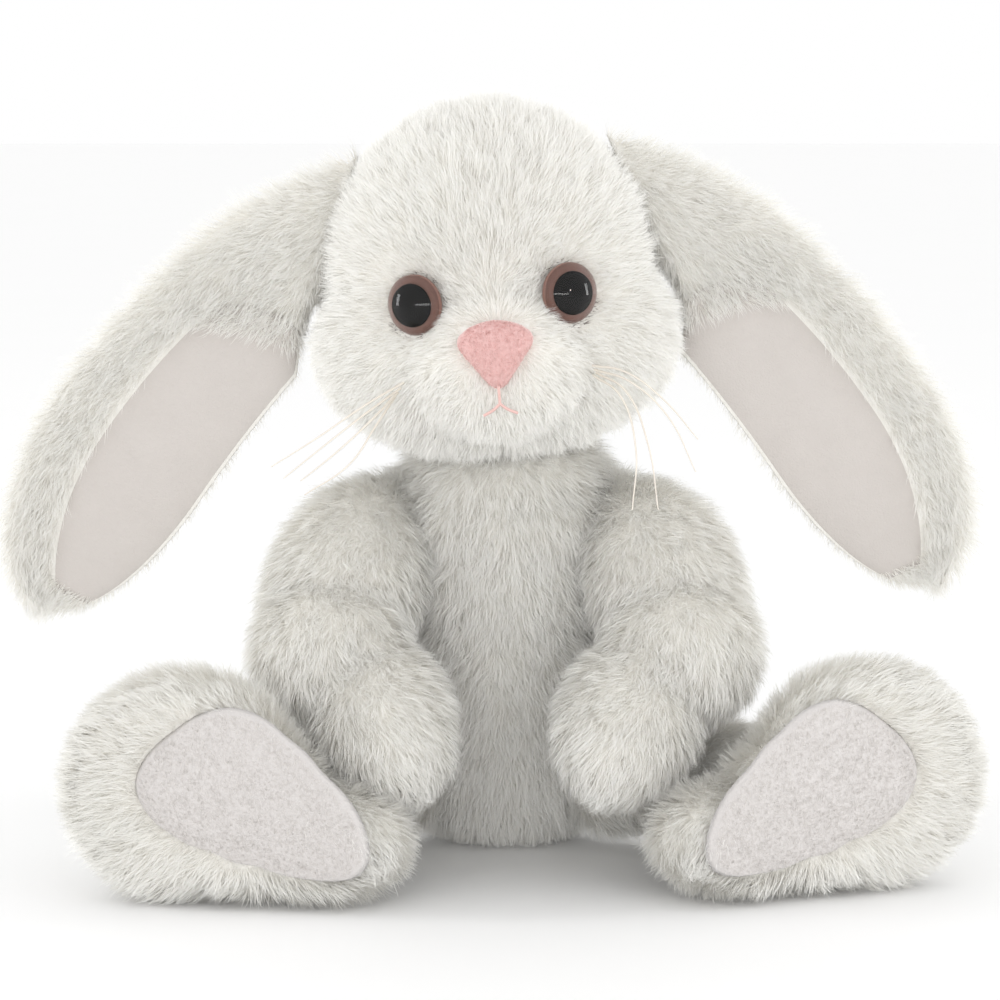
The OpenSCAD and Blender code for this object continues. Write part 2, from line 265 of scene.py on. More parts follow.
white_pile = [
    pile_colour("pile_shaded_root", (0.915, 0.895, 0.845)),
    pile_colour("pile_cream", (0.94, 0.925, 0.88)),
    pile_colour("pile_white", (0.945, 0.935, 0.90)),
    pile_colour("pile_white_tip", (0.95, 0.945, 0.92)),
]
STRANDS_EACH = 38000
FLOOR_MM = 0.2


def grow_pile(
    name, piece, body, seed, per_mm2, length, comb, keep=None, lay=46, curl=12,
    width=0.095, clump=1.9, gather=0.3, colours=white_pile, values=None, stray=20,
):
    """Plants flat tapering strands on a cover. They lean along comb, in clumps, and are
    split into pieces of STRANDS_EACH. Lengths and directions may vary from place to place."""
    rng = np.random.default_rng(seed)
    points, normals, triangles = surface_of(piece)
    corners = points[triangles]
    areas = np.linalg.norm(np.cross(corners[:, 1] - corners[:, 0], corners[:, 2] - corners[:, 0]), axis=1) / 2
    count = int(areas.sum() * per_mm2)
    chosen = rng.choice(len(triangles), count, p=areas / areas.sum())
    a, b = rng.random((2, count))
    over = a + b > 1
    a[over], b[over] = 1 - a[over], 1 - b[over]
    shares = np.stack([1 - a - b, a, b], 1)[..., None]
    root = (corners[chosen] * shares).sum(1)
    up = unit((normals[triangles[chosen]] * shares).sum(1))
    at = None if values is None else (values[triangles[chosen]] * shares).sum(1)
    if keep is not None:
        kept = keep(root, up, at)
        root, up = root[kept], up[kept]
        at = None if at is None else at[kept]
    count = len(root)
    hub_count = max(1, int(areas.sum() / (clump * clump)) * count // max(1, int(areas.sum() * per_mm2)))
    tree = KDTree(hub_count)
    for i in range(hub_count):
        tree.insert(root[i], i)
    tree.balance()
    hub = np.array([tree.find(p)[1] for p in root])

    def per_clump(low, high):
        return rng.uniform(low, high, hub_count)[hub]

    flow = comb(root, up, at)
    along = unit(flow - (flow * up).sum(1, keepdims=True) * up)
    turn = np.radians(rng.normal(0, stray, count) + per_clump(-22, 22))[:, None]
    along = along * np.cos(turn) + np.cross(up, along) * np.sin(turn)
    lean = lay(root, up, at) if callable(lay) else lay
    lean = lean + rng.normal(0, 7, count) + per_clump(-9, 9)
    long = length(root, up, at) if callable(length) else np.full(count, float(length))
    long = long * rng.uniform(0.72, 1.08, count) * per_clump(0.86, 1.1)
    spots, steps = [root - 0.25 * up], (0.42, 0.33, 0.25)
    for i, step in enumerate(steps):
        angle = np.radians(lean + curl * i)[:, None]
        spots.append(spots[-1] + step * long[:, None] * (np.cos(angle) * up + np.sin(angle) * along))
    pull = per_clump(0.35, 1.0)[:, None] * gather
    for i, share in ((1, 0.2), (2, 0.6), (3, 1.0)):
        spots[i] = spots[i] + (spots[i][hub] - spots[i]) * pull * share
    for spot in spots:
        spot[:, 2] = np.maximum(spot[:, 2], FLOOR_MM)
    roll = np.radians(np.clip(rng.normal(0, 30, count), -60, 60))[:, None]
    face = up * np.cos(roll) + np.cross(up, along) * np.sin(roll)
    rows = []
    for i, share in enumerate((1.0, 0.85, 0.55)):
        across = unit(np.cross(spots[i + 1] - spots[i], face)) * (width * share / 2)
        rows += [spots[i] - across, spots[i] + across]
    strands = np.stack(rows + [spots[3]], 1)
    one = np.array([0, 1, 3, 2, 2, 3, 5, 4, 4, 5, 6])
    tint = rng.random(count)
    pieces = []
    for first in range(0, count, STRANDS_EACH):
        part = strands[first:first + STRANDS_EACH]
        made = len(part)
        label = name if count <= STRANDS_EACH else f"{name}_{first // STRANDS_EACH + 1}"
        mesh = bpy.data.meshes.new(label)
        mesh.vertices.add(made * 7)
        mesh.vertices.foreach_set("co", (part.reshape(-1) * MM).astype(np.float32))
        mesh.loops.add(made * 11)
        mesh.loops.foreach_set("vertex_index", (np.arange(made)[:, None] * 7 + one).ravel())
        mesh.polygons.add(made * 3)
        mesh.polygons.foreach_set("loop_start", (np.arange(made)[:, None] * 11 + np.array([0, 4, 8])).ravel())
        some = tint[first:first + STRANDS_EACH]
        # Root faces take the darker first colours and tip faces the lighter last ones: painted shade, darker
        # towards the roots deep in the pile.
        slots = np.stack([(some > 0.8) * 1, 1 + (some > 0.35), 2 + (some > 0.3)], 1)
        mesh.polygons.foreach_set("material_index", slots.ravel().astype(np.int32))
        mesh.polygons.foreach_set("use_smooth", np.ones(made * 3, bool))
        mesh.update(calc_edges=True)
        for colour in colours:
            mesh.materials.append(colour.material)
        strand_piece = bpy.data.objects.new(label, mesh)
        scene.collection.objects.link(strand_piece)
        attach(strand_piece, body)
        pieces.append(strand_piece)
    return pieces


# The backing is a darker cream than the pile: partly the woven backing's own colour, partly painted shade
# where it shows between the strands.
backing = Finish("plush_backing_with_painted_shade", Roughness=0.9, Sheen_Weight=0.3, Sheen_Roughness=0.6)
backing_cloud = backing.noise(2.2)
backing.set("Base Color", backing.mix(backing_cloud, (0.80, 0.775, 0.72), (0.90, 0.885, 0.845)))
backing.set("Normal", backing.bump(backing.noise(0.5) * 0.6 + backing_cloud * 0.4, 0.5))

TORSO_LUMPS = [
    lump((0, 3, 27), (24.5, 21, 33)),
    lump((0, 1, 52), (22.5, 17.5, 25)),
    lump((0, 0, 63), (25.5, 17.5, 14)),
    lump((0, 0, 71), (19, 18, 11.5)),
]


def sit_flat(points):
    """The seat spreads on the table: everything below it is pressed flat."""
    points = points.copy()
    points[:, 2] = np.maximum(points[:, 2], 0.35)
    return points


torso = stuffed("torso_cover", TORSO_LUMPS, backing, sit_flat)
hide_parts("belly_panel_left", "belly_panel_right", "back_panel_left", "back_panel_right",
            "seat_panel", "torso_stuffing")
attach(torso, "torso")

NECK = Vector((0, 0, 76))


def comb_down(root, up, at):
    """Down the body, parting a little from the centre line in front."""
    flow = np.zeros_like(root)
    flow[:, 0] = 0.012 * root[:, 0]
    flow[:, 2] = -1
    return flow


def torso_shows(root, up, at):
    return (root[:, 2] > 0.6) & (np.linalg.norm(root - np.array(NECK), axis=1) > 12)


grow_pile(
    "torso_pile", torso, "torso", 11, 8.5,
    6.4, comb_down, torso_shows,
    lay=lambda root, up, at: np.where(root[:, 2] > 62, 36.0, 46.0),
)

pouch_finish = Finish("pouch_cloth", Roughness=0.85)
pouch_weave = pouch_finish.noise(0.7)
pouch_finish.set("Base Color", pouch_finish.mix(pouch_weave, (0.72, 0.66, 0.55), (0.82, 0.77, 0.67)))
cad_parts["pellet_pouch"].data.materials.clear()
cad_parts["pellet_pouch"].data.materials.append(pouch_finish.material)

thread_finish = Finish("sewing_thread", Roughness=0.6, Sheen_Weight=0.2)
thread_twist = thread_finish.noise(0.25, 2)
thread_finish.set("Base Color", thread_finish.mix(thread_twist, (0.80, 0.78, 0.72), (0.93, 0.92, 0.88)))
thread_finish.set("Normal", thread_finish.bump(thread_twist, 0.1))
for node in ("back_closing_stitches", "neck_thread"):
    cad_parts[node].data.materials.clear()
    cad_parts[node].data.materials.append(thread_finish.material)

# ---- Tail -------------------------------------------------------------------
# A gathered disc of the same plush, drawn up round a ball of fibre and sewn to
# the back of the seat. Its pile stands out all round, so it looks like a puff.
TAIL_LUMPS = [lump((0, 31, 12), (9, 9, 9), less=1.6)]
tail = stuffed("tail_cover_puff", TAIL_LUMPS, backing, sit_flat, weave=1.2, ease=3)
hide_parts("tail_cover", "tail_stuffing")
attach(tail, "torso")
grow_pile(
    "tail_pile", tail, "torso", 12, 7, 6.5,
    lambda root, up, at: np.tile((0.0, 0.35, -1.0), (len(root), 1)),
    lambda root, up, at: (root[:, 2] > 0.6) & ~within(TORSO_LUMPS, root), lay=28,
)

# ---- Head -------------------------------------------------------------------
# Two side panels, a gusset over the crown and a chin panel of the same plush,
# filled firmly. The pile is clipped short round the eyes, nose and mouth, and
# it lies away from the nose, back over the crown and down the cheeks.
head_tilt = Matrix.Rotation(math.radians(-4.5), 4, "Y")
HEAD = Matrix.Translation(NECK) @ head_tilt @ Matrix.Translation((0, -4, 32.5))
HEAD_LUMPS = [
    lump((0, 0, 1.0), (31, 29, 32.5), place=HEAD, less=2.4),
    lump((0, -4, -12), (34.5, 26.5, 22.5), place=HEAD, less=2.2),
    lump((0, -24, -14.5), (17, 13.5, 14.5), place=HEAD, less=2.2),
]
EYES = {"left": Vector((14.2, -24.6, -2.6)), "right": Vector((-14.2, -24.6, -2.6))}
NOSE = np.array((0, -38.2, -12.2))


def to_head(points):
    return spread(HEAD.inverted(), points)


def from_head(vectors):
    return vectors @ np.array(HEAD)[:3, :3].T


def press_sockets(points):
    """The eye stems pull the cloth in, and the nose is sewn down into the muzzle."""
    local = to_head(points)
    for eye in EYES.values():
        near = np.exp(-(np.linalg.norm(local - np.array(eye), axis=1) / 7.5) ** 2)
        local[:, 1] += 1.9 * near
    near = np.exp(-(np.linalg.norm(local - NOSE, axis=1) / 6) ** 2)
    local[:, 1] += 0.8 * near
    return spread(HEAD, local)


head = stuffed("head_cover", HEAD_LUMPS, backing, press_sockets, ease=10)
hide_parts("head_gusset", "head_panel_left", "head_panel_right", "chin_panel", "head_stuffing")
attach(head, "head")


def eye_distance(local):
    return np.min([np.linalg.norm(local - np.array(eye), axis=1) for eye in EYES.values()], axis=0)


def head_comb(root, up, at):
    local = to_head(root)
    flow = unit(local - np.array((0, -36, -9)))
    crown = np.clip((local[:, 2] - 4) / 14, 0, 1)[:, None]
    cheek = np.clip((6 - local[:, 2]) / 14, 0, 1)[:, None]
    flow = flow + crown * np.array((0, 0.5, 0.25)) + cheek * np.array((0, 0.25, -0.75))
    flow[:, 0] += 0.25 * np.sign(local[:, 0]) * cheek[:, 0]
    for eye in EYES.values():
        away = local - np.array(eye)
        flow = flow + 2.2 * unit(away) * np.exp(-(np.linalg.norm(away, axis=1) / 7.5) ** 2)[:, None]
    return from_head(flow)


def head_length(root, up, at):
    local = to_head(root)
    long = 5.8 - 3.6 * np.exp(-(eye_distance(local) / 8.5) ** 2)
    long = long - 2.9 * np.exp(-(np.linalg.norm(local - NOSE, axis=1) / 13) ** 2)
    return np.maximum(long, 1.9)


def head_shows(root, up, at):
    local = to_head(root)
    half = 6.4 * np.clip((local[:, 2] + 18) / 8, 0, 1) - 0.7
    nose = (np.abs(local[:, 0]) < half) & (local[:, 2] < -6.6) & (local[:, 1] < -30)
    neck = np.linalg.norm(root - np.array(NECK), axis=1) < 13
    return (eye_distance(local) > 5.9) & ~nose & ~neck


def head_lay(root, up, at):
    local = to_head(root)
    return 46 + 14 * np.exp(-(np.linalg.norm(local - NOSE, axis=1) / 14) ** 2)


grow_pile("head_pile", head, "head", 13, 10.0, head_length, head_comb, head_shows, lay=head_lay)

# A ring of short dark strands round each eye: partly dark specks at the clipped edge of the pile, partly
# painted shade round the eye sockets that the stems pull in.
eye_stubble_and_shade = [
    pile_colour("stubble_and_shade_dark", (0.10, 0.085, 0.075)), pile_colour("stubble_and_shade_brown", (0.20, 0.165, 0.145)),
    pile_colour("stubble_and_shade_grey", (0.34, 0.30, 0.27)), pile_colour("stubble_and_shade_pale", (0.55, 0.51, 0.47)),
]
grow_pile(
    "eye_edge_stubble_and_shade", head, "head", 15, 5.0, 1.5, head_comb,
    lambda root, up, at: np.abs(eye_distance(to_head(root)) - 5.7) < 0.7, lay=25, colours=eye_stubble_and_shade,
)

# ---- Neck -------------------------------------------------------------------
# The necks of the head and of the body are gathered on one strong thread round
# a ball of fibre, which lets the head turn and nod. Plush covers the gathers.
neck = stuffed("neck_gathers", [lump((0, 0, 76), (13, 13, 13), less=0.6)], backing, weave=1.2, ease=2)
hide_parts("neck_stuffing")
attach(neck, "neck")
grow_pile(
    "neck_pile", neck, "neck", 14, 7.0, 6.0, comb_down,
    lambda root, up, at: (np.abs(root[:, 2] - 77) < 6) & ~within(HEAD_LUMPS, root, 0.97),
)

# ---- Eyes -------------------------------------------------------------------
# Moulded safety eyes: a rose-brown disc with a stem, a black pupil and a clear
# domed lens over both. The stem goes through the cloth into a pressed washer.
def turned(name, outline, place, finish, around=64):
    """A round piece turned from (radius, height) points, closed where a radius is 0."""
    points, rings = [], []
    for radius, height in outline:
        if radius == 0:
            rings.append([len(points)])
            points.append((0, 0, height))
        else:
            rings.append(list(range(len(points), len(points) + around)))
            for i in range(around):
                angle = 2 * math.pi * i / around
                points.append((radius * math.cos(angle), radius * math.sin(angle), height))
    faces = []
    for low, high in zip(rings, rings[1:]):
        for i in range(around):
            j = (i + 1) % around
            quad = [low[i % len(low)], low[j % len(low)], high[j % len(high)], high[i % len(high)]]
            faces.append(list(dict.fromkeys(quad)))
    return mesh_piece(name, spread(place, np.array(points, float)), faces, finish)


def dome(radius, rise, from_height=0.0, steps=14):
    """Points over a ball's cap, from its edge up to its top."""
    ball = (radius * radius + rise * rise) / (2 * rise)
    widest = math.asin(min(1, radius / ball))
    turns = [widest * (1 - i / steps) for i in range(steps)]
    return [
        (ball * math.sin(turn), from_height + ball * math.cos(turn) - ball + rise) for turn in turns
    ] + [(0, from_height + rise)]


lens_finish = Finish("clear_lens", Base_Color=(1, 1, 1), Roughness=0.01, IOR=1.36, Transmission_Weight=1.0)
pupil_finish = Finish("black_pupil", Roughness=0.3, Specular_IOR_Level=0.02)
pupil_cloud = pupil_finish.noise(1.5)
pupil_finish.set("Base Color", pupil_finish.mix(pupil_cloud, (0.002, 0.002, 0.002), (0.005, 0.004, 0.004)))
iris_finish = Finish("rose_brown_disc", Roughness=0.35, Coat_Weight=0.4)
iris_fleck = iris_finish.noise(0.6)
iris_finish.set("Base Color", iris_finish.mix(iris_fleck, (0.20, 0.10, 0.075), (0.28, 0.14, 0.11)))
washer_finish = Finish("washer_plastic", Roughness=0.5)
washer_cloud = washer_finish.noise(1.0)
washer_finish.set("Base Color", washer_finish.mix(washer_cloud, (0.80, 0.80, 0.78), (0.88, 0.88, 0.86)))
PUPIL_WIDE, LENS_R, LENS_HIGH = 7.2, 5.42, 3.0
for side, eye in EYES.items():
    out = 1 if side == "left" else -1
    facing = Vector((out * 0.5, -math.cos(math.radians(30)), 0))
    seat = HEAD @ Matrix.Translation(eye) @ facing.to_track_quat("Z", "Y").to_matrix().to_4x4()
    disc = turned(
        f"eye_disc_{side}_moulded",
        [
            (0, -10.2), (1.2, -10.2), (1.5, -9.8), (1.5, -1.2), (5.2, -1.2),
            (5.5, -0.9), (5.5, -0.1), (5.3, 0.05), (4.2, 0.0), (0, 0.0),
        ],
        seat, iris_finish,
    )
    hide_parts(f"eye_disc_{side}")
    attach(disc, "head")
    pupil_outline = [(0, 0.05), (PUPIL_WIDE / 2, 0.05)] + dome(PUPIL_WIDE / 2, 0.45, 0.3)
    pupil = turned(f"eye_pupil_{side}_domed", pupil_outline, seat, pupil_finish)
    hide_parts(f"eye_pupil_{side}")
    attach(pupil, "head")
    lens_outline = [(0, -0.5), (5.2, -0.5), (LENS_R, 0.0)] + dome(LENS_R, LENS_HIGH - 0.12, 0.12)
    lens = turned(f"eye_lens_{side}_clear", lens_outline, seat, lens_finish)
    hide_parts(f"eye_lens_{side}")
    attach(lens, "head")
    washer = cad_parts[f"eye_washer_{side}"]
    washer.data.materials.clear()
    washer.data.materials.append(washer_finish.material)

# ---- Nose and mouth -----------------------------------------------------------
# The nose is a small padded triangle of rose velour with rounded corners, sewn
# to the muzzle. Rose thread runs from its point down to a split upper lip.
nose_finish = Finish(
    "rose_velour", Roughness=0.85, Sheen_Weight=0.6, Sheen_Roughness=0.4, Sheen_Tint=(1, 0.86, 0.84, 1),
)
nose_cloud = nose_finish.noise(0.8)
nose_finish.set("Base Color", nose_finish.mix(nose_cloud, (0.70, 0.42, 0.40), (0.80, 0.53, 0.51)))
nose_finish.set("Normal", nose_finish.bump(nose_finish.noise(0.3), 0.15))
NOSE_ROUND = 2.1
nose_corners = np.array([(-4.5, 2.3), (4.5, 2.3), (0.0, -3.6)])
ring = []
for angle in np.radians(np.arange(0, 360, 3)):
    outward = np.array((math.cos(angle), math.sin(angle)))
    ring.append(nose_corners[np.argmax(nose_corners @ outward)] + NOSE_ROUND * outward)
ring = np.array(ring + ring[:1])
walk = np.concatenate([[0], np.cumsum(np.linalg.norm(np.diff(ring, axis=0), axis=1))])
steps = np.linspace(0, walk[-1], 73)[:-1]
ring = np.stack([np.interp(steps, walk, ring[:, i]) for i in (0, 1)], 1)
ring[:, 1] += 1.6 * np.clip(1 - (ring[:, 0] / 5.4) ** 2, 0, 1) * (ring[:, 1] > 3)
nose_points, nose_faces = [], []
NOSE_RINGS = (1.0, 1.03, 1.0, 0.93, 0.8, 0.62, 0.42, 0.2)
NOSE_RISES = (-2.2, -1.0, 0.2, 1.0, 1.75, 2.2, 2.45, 2.55)
for share, rise in zip(NOSE_RINGS, NOSE_RISES):
    for x, z in ring * share:
        nose_points.append((x, -35.9 - rise + 0.018 * x * x, -11.7 + z))
around = len(ring)
for i in range(len(NOSE_RINGS) - 1):
    for j in range(around):
        k = (j + 1) % around
        nose_faces.append([i * around + j, i * around + k, (i + 1) * around + k, (i + 1) * around + j])
nose_faces.append([(len(NOSE_RINGS) - 1) * around + j for j in range(around)])
nose_faces.append([j for j in reversed(range(around))])
nose = mesh_piece("nose_velour", spread(HEAD, np.array(nose_points)), nose_faces, nose_finish)
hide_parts("nose_pad")
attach(nose, "head")
# Rose nap colours from root to tip; the darker root colour is painted shade deep in the nap.
rose_pile = [
    pile_colour("rose_shaded_root", (0.64, 0.36, 0.34)), pile_colour("rose_nap", (0.75, 0.47, 0.445)),
    pile_colour("rose_light", (0.79, 0.53, 0.50)), pile_colour("rose_tip", (0.83, 0.59, 0.56)),
]
grow_pile(
    "nose_nap", nose, "head", 21, 38, 0.75,
    lambda root, up, at: np.tile((0.1, 0.0, -1.0), (len(root), 1)),
    lambda root, up, at: to_head(root)[:, 1] < -35.4,
    lay=38, width=0.09, clump=0.7, gather=0.3, colours=rose_pile,
)


def tube(name, points_mm, radius, finish, tip=1.0, around=10):
    """A round thread or bristle on a smooth line through points, narrowing to tip at its end."""
    line = bpy.data.curves.new(name, "CURVE")
    line.dimensions = "3D"
    spline = line.splines.new("BEZIER")
    spline.bezier_points.add(len(points_mm) - 1)
    for i, (knot, place) in enumerate(zip(spline.bezier_points, points_mm)):
        knot.co = Vector(place) * MM
        knot.handle_left_type = knot.handle_right_type = "AUTO"
        knot.radius = 1 + (tip - 1) * i / (len(points_mm) - 1)
    line.bevel_depth = radius * MM
    line.bevel_resolution = around // 4
    line.resolution_u = 10
    line.use_fill_caps = True
    maker = bpy.data.objects.new(name, line)
    scene.collection.objects.link(maker)
    bpy.context.view_layer.update()
    mesh = bpy.data.meshes.new_from_object(maker.evaluated_get(bpy.context.evaluated_depsgraph_get()))
    bpy.data.objects.remove(maker)
    mesh.shade_smooth()
    mesh.materials.clear()
    mesh.materials.append(finish.material)
    piece = bpy.data.objects.new(name, mesh)
    scene.collection.objects.link(piece)
    return piece


def on_muzzle(x, z, proud=0.2):
    """A point on the muzzle's short pile, in the head's own frame."""
    inside = max(0.0, 1 - (x / 17) ** 2 - ((z + 14.5) / 14.5) ** 2)
    return Vector((x, -24 - 13.5 * math.sqrt(inside) - proud, z))


rose_thread = Finish("rose_thread", Roughness=0.55, Sheen_Weight=0.3)
rose_twist = rose_thread.noise(0.3, 2)
rose_thread.set("Base Color", rose_thread.mix(rose_twist, (0.72, 0.44, 0.40), (0.82, 0.56, 0.52)))
rose_thread.set("Normal", rose_thread.bump(rose_twist, 0.1))
lip_lines = {
    "mouth_thread_middle": [(0, -17.0), (0, -18.6), (0, -20.5)],
    "mouth_thread_left": [(0, -20.3), (1.3, -21.4), (3.0, -22.3)],
    "mouth_thread_right": [(0, -20.3), (-1.3, -21.4), (-3.0, -22.3)],
}
for name, line in lip_lines.items():
    stitch = tube(name, [HEAD @ on_muzzle(x, z) for x, z in line], 0.27, rose_thread)
    if name == "mouth_thread_middle":
        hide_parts("mouth_stitches")
    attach(stitch, "head")

# ---- Whiskers ---------------------------------------------------------------
# Four stiff off-white bristles on each cheek, knotted inside the head and drawn
# out through the cloth. They taper, spread in a fan and droop to their tips.
bristle_finish = Finish("whisker_bristle", Roughness=0.35, Coat_Weight=0.3)
bristle_cloud = bristle_finish.noise(3)
bristle_finish.set("Base Color", bristle_finish.mix(bristle_cloud, (0.72, 0.66, 0.58), (0.84, 0.79, 0.71)))
WHISKERS = {
    "right": [
        [(-17.0, -28.5, -16.0), (-24.0, -33.5, -19.0), (-33.0, -35.5, -24.0), (-41.5, -35.0, -28.5)],
        [(-17.6, -28.0, -17.0), (-24.5, -33.5, -20.8), (-32.0, -35.5, -25.6), (-39.5, -34.5, -30.8)],
        [(-18.2, -27.5, -17.8), (-24.0, -33.5, -22.5), (-30.0, -35.5, -27.0), (-36.5, -34.5, -31.5)],
        [(-18.8, -27.0, -18.6), (-22.5, -33.0, -23.0), (-27.5, -36.0, -29.0), (-36.0, -35.0, -34.0)],
    ],
    "left": [
        [(17.0, -28.5, -15.6), (22.8, -33.0, -16.8), (29.0, -35.0, -22.0), (34.6, -34.5, -29.6)],
        [(17.3, -28.2, -16.4), (23.5, -33.5, -18.6), (29.5, -35.5, -25.0), (33.8, -34.5, -35.4)],
        [(17.0, -28.0, -17.4), (21.5, -33.5, -21.0), (23.4, -36.0, -30.0), (22.0, -36.5, -41.0)],
        [(17.6, -27.8, -17.0), (22.5, -33.0, -20.2), (25.6, -36.0, -29.5), (26.6, -36.0, -41.5)],
    ],
}
for side, lines in WHISKERS.items():
    for i, line in enumerate(lines, 1):
        route = [HEAD @ Vector(p) for p in line]
        bristle = tube(f"whisker_{side}_{i}", route, 0.25, bristle_finish, tip=0.45)
        if i == 1:
            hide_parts(f"whiskers_{side}")
        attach(bristle, "head")

# ---- Ears -------------------------------------------------------------------
# Long lop ears: plush on the back, smooth lining in front, sewn edge to edge
# and turned so that the plush rolls forward over the outer edge. Each is sewn
# into the seam at the side of the crown, where it bends forwards and back.
EAR_ROOT = np.array((30.6, 2.0, 8.75))
EAR_LONG, ROOT_WIDE, EAR_WIDE = 88, 28, 33
DROOP, HANG, LEAN, ROOT_TILT = 38, 66, 4.5, 19
BEND = EAR_LONG / math.radians(HANG - DROOP)
ROUND_FROM = 0.62


def ear_half(t):
    swell = np.sin(np.pi / 2 * np.clip(t / ROUND_FROM, 0, 1))
    past = np.clip((t - ROUND_FROM) / (1 - ROUND_FROM), 0, 1)
    return (ROOT_WIDE + (EAR_WIDE - ROOT_WIDE) * swell) / 2 * np.sqrt(1 - past * past)


def ear_spot(out, t, s, depth):
    """A point of the ear at share t of its length and s across it, in the head's frame."""
    start = math.radians(DROOP + out * LEAN)
    now = start + np.radians(HANG - DROOP) * t
    mid = BEND * np.stack([np.sin(now) - np.sin(start), np.cos(now) - np.cos(start)], -1)
    share = np.clip(t / 0.25, 0, 1)
    angle = -math.radians(ROOT_TILT) + share * (now + math.radians(ROOT_TILT))
    half = ear_half(t)
    flat = mid + (s * half)[..., None] * np.stack([np.sin(angle), np.cos(angle)], -1)
    open_share = np.clip(t / 0.3, 0, 1)
    y = -open_share * (2.6 * np.clip(s, 0, 1) ** 2.5 + 1.6 * np.clip(-s, 0, 1) ** 2) - 3.0 * t + depth
    return np.stack([out * (EAR_ROOT[0] + flat[..., 0]), EAR_ROOT[1] + y, EAR_ROOT[2] + flat[..., 1]], -1)


def ear_thick(t, s):
    return (1.5 + 2.6 * np.exp(-((t / 0.16) ** 2))) * np.sqrt(np.clip(1 - np.abs(s) ** 5, 0, 1))


def ear_shell(name, out, ts, edges, front, back, finish, slant=0.0):
    """A closed thin bag over the ear's grid. edges gives the two sides at each t, and
    slant is how much lower on the ear its top edge starts at the outer side."""
    across = 22
    points, where = [], []
    for t in ts:
        low, high = edges(t)
        s = low + (high - low) * (0.5 - 0.5 * np.cos(np.linspace(0, np.pi, across + 1)))
        tt = t + slant * s * ((ts[-1] - t) / (ts[-1] - ts[0])) ** 2
        inner = np.clip((s - low) * (high - s) / max(1e-6, (high - low) ** 2 / 4), 0, 1) ** 0.5
        points += [ear_spot(out, tt, s, front(tt, s) * inner - (1 - inner) * 0.05),
                   ear_spot(out, tt, s, back(tt, s) * inner)[-2:0:-1]]
        where += [np.stack([tt, s], 1), np.stack([tt, s], 1)[-2:0:-1]]
    points, where = np.concatenate(points), np.concatenate(where)
    loop = 2 * across
    faces = []
    for i in range(len(ts) - 1):
        for j in range(loop):
            k = (j + 1) % loop
            quad = [i * loop + j, (i + 1) * loop + j, (i + 1) * loop + k, i * loop + k]
            faces.append(quad if out > 0 else quad[::-1])
    caps = [list(range(loop)), [(len(ts) - 1) * loop + j for j in reversed(range(loop))]]
    faces += caps if out > 0 else [cap[::-1] for cap in caps]
    return mesh_piece(name, spread(HEAD, points), faces, finish), where


lining_finish = Finish("ear_lining_cloth", Roughness=0.85, Sheen_Weight=0.12, Sheen_Roughness=0.5)
lining_cloud = lining_finish.noise(7)
lining_nap = lining_finish.noise(0.35, 2)
lining_shade = lining_cloud * 0.7 + lining_nap * 0.3
lining_finish.set("Base Color", lining_finish.mix(lining_shade, (0.57, 0.53, 0.50), (0.64, 0.60, 0.57)))
lining_finish.set("Normal", lining_finish.bump(lining_nap * 0.5 + lining_cloud * 0.5, 0.25))
LINING_FROM, LINING_TO, BORDER, SLANT = 0.21, 0.955, 8.0, 0.15


def lining_outer(t):
    return 1 - BORDER / np.maximum(ear_half(t), BORDER * 0.75)


def ear_comb_for(out):
    def comb(root, up, at):
        here = ear_spot(out, at[:, 0], at[:, 1], 0)
        ahead = ear_spot(out, at[:, 0] + 0.02, at[:, 1], 0)
        side_way = ear_spot(out, at[:, 0], at[:, 1] + 0.05, 0) - here
        edge = np.clip(at[:, 1], -1, 1)[:, None]
        return from_head(unit(ahead - here) + 0.75 * edge ** 3 * unit(side_way))
    return comb


def ear_shows(root, up, at):
    t, s = at[:, 0], at[:, 1]
    front = from_front(up)
    below_root = t > LINING_FROM + SLANT * s + 0.06
    lined = front & below_root & (s < lining_outer(t) - 0.13) & (t < LINING_TO - 0.025)
    return ~lined & ~within(HEAD_LUMPS, root, 0.97)


def from_front(up):
    return up[:, 1] < -0.1


for side, out in (("left", 1), ("right", -1)):
    ts = np.concatenate([np.linspace(-0.04, 0.9, 40), [0.93, 0.955, 0.975, 0.99, 0.998]])
    ear, where = ear_shell(
        f"ear_{side}_plush", out, ts, lambda t: (-1.0, 1.0),
        lambda t, s: -ear_thick(t, s), lambda t, s: ear_thick(t, s), backing,
    )
    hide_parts(f"ear_back_{side}")
    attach(ear, f"ear_{side}")
    lining, _ = ear_shell(
        f"ear_{side}_lining", out, np.linspace(LINING_FROM, LINING_TO, 34),
        lambda t: (-0.97, float(lining_outer(np.array(t))) + 0.06),
        lambda t, s: -ear_thick(t, s) - 0.45, lambda t, s: -ear_thick(t, s) + 0.3, lining_finish,
        slant=SLANT,
    )
    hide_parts(f"ear_lining_{side}")
    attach(lining, f"ear_{side}")
    grow_pile(
        f"ear_{side}_pile", ear, f"ear_{side}", 31 + out, 8.5,
        lambda root, up, at: 5.6 - 2.4 * (at[:, 1] < -0.75),
        ear_comb_for(out), ear_shows, values=where, lay=42,
    )

